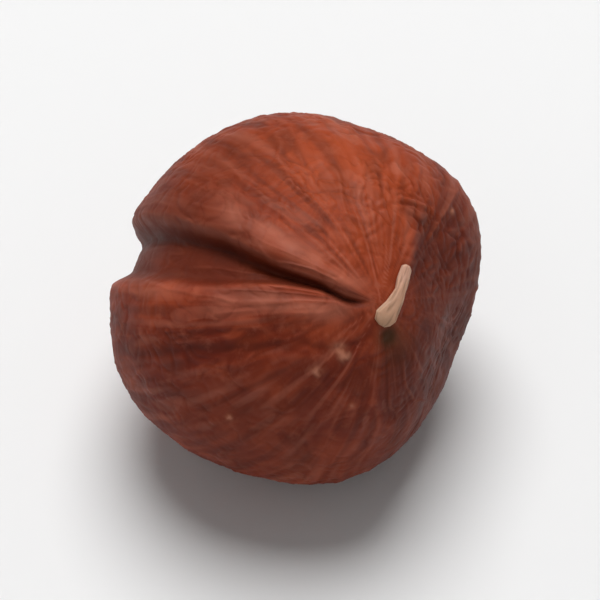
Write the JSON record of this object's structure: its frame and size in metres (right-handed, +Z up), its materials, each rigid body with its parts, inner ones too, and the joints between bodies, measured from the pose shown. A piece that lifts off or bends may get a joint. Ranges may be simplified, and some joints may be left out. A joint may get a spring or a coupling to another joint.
{
  "type": "hazelnut kernel",
  "caption": "Shelled hazelnut kernel in its red-brown skin, with a cleft down one side and a dried shred of seed stalk at the tip, lying on a small flat spot.",
  "frame": {"origin": "on the surface the kernel rests on, under the middle of the kernel", "axes": "+Z up from the resting surface; the pointed tip leans up and towards the front and right, at (0.41, -0.58, 0.71) from the middle"},
  "size_m": [0.0142, 0.0138, 0.0128],
  "materials": {
    "nut_skin": "papery red-brown seed skin, satin, wrinkled and veined",
    "dried_stalk": "dry cream plant fibre, matte"
  },
  "bodies": {
    "root": {"kernel": "nut_skin", "seed_stalk": "dried_stalk"}
  },
  "joints": []
}
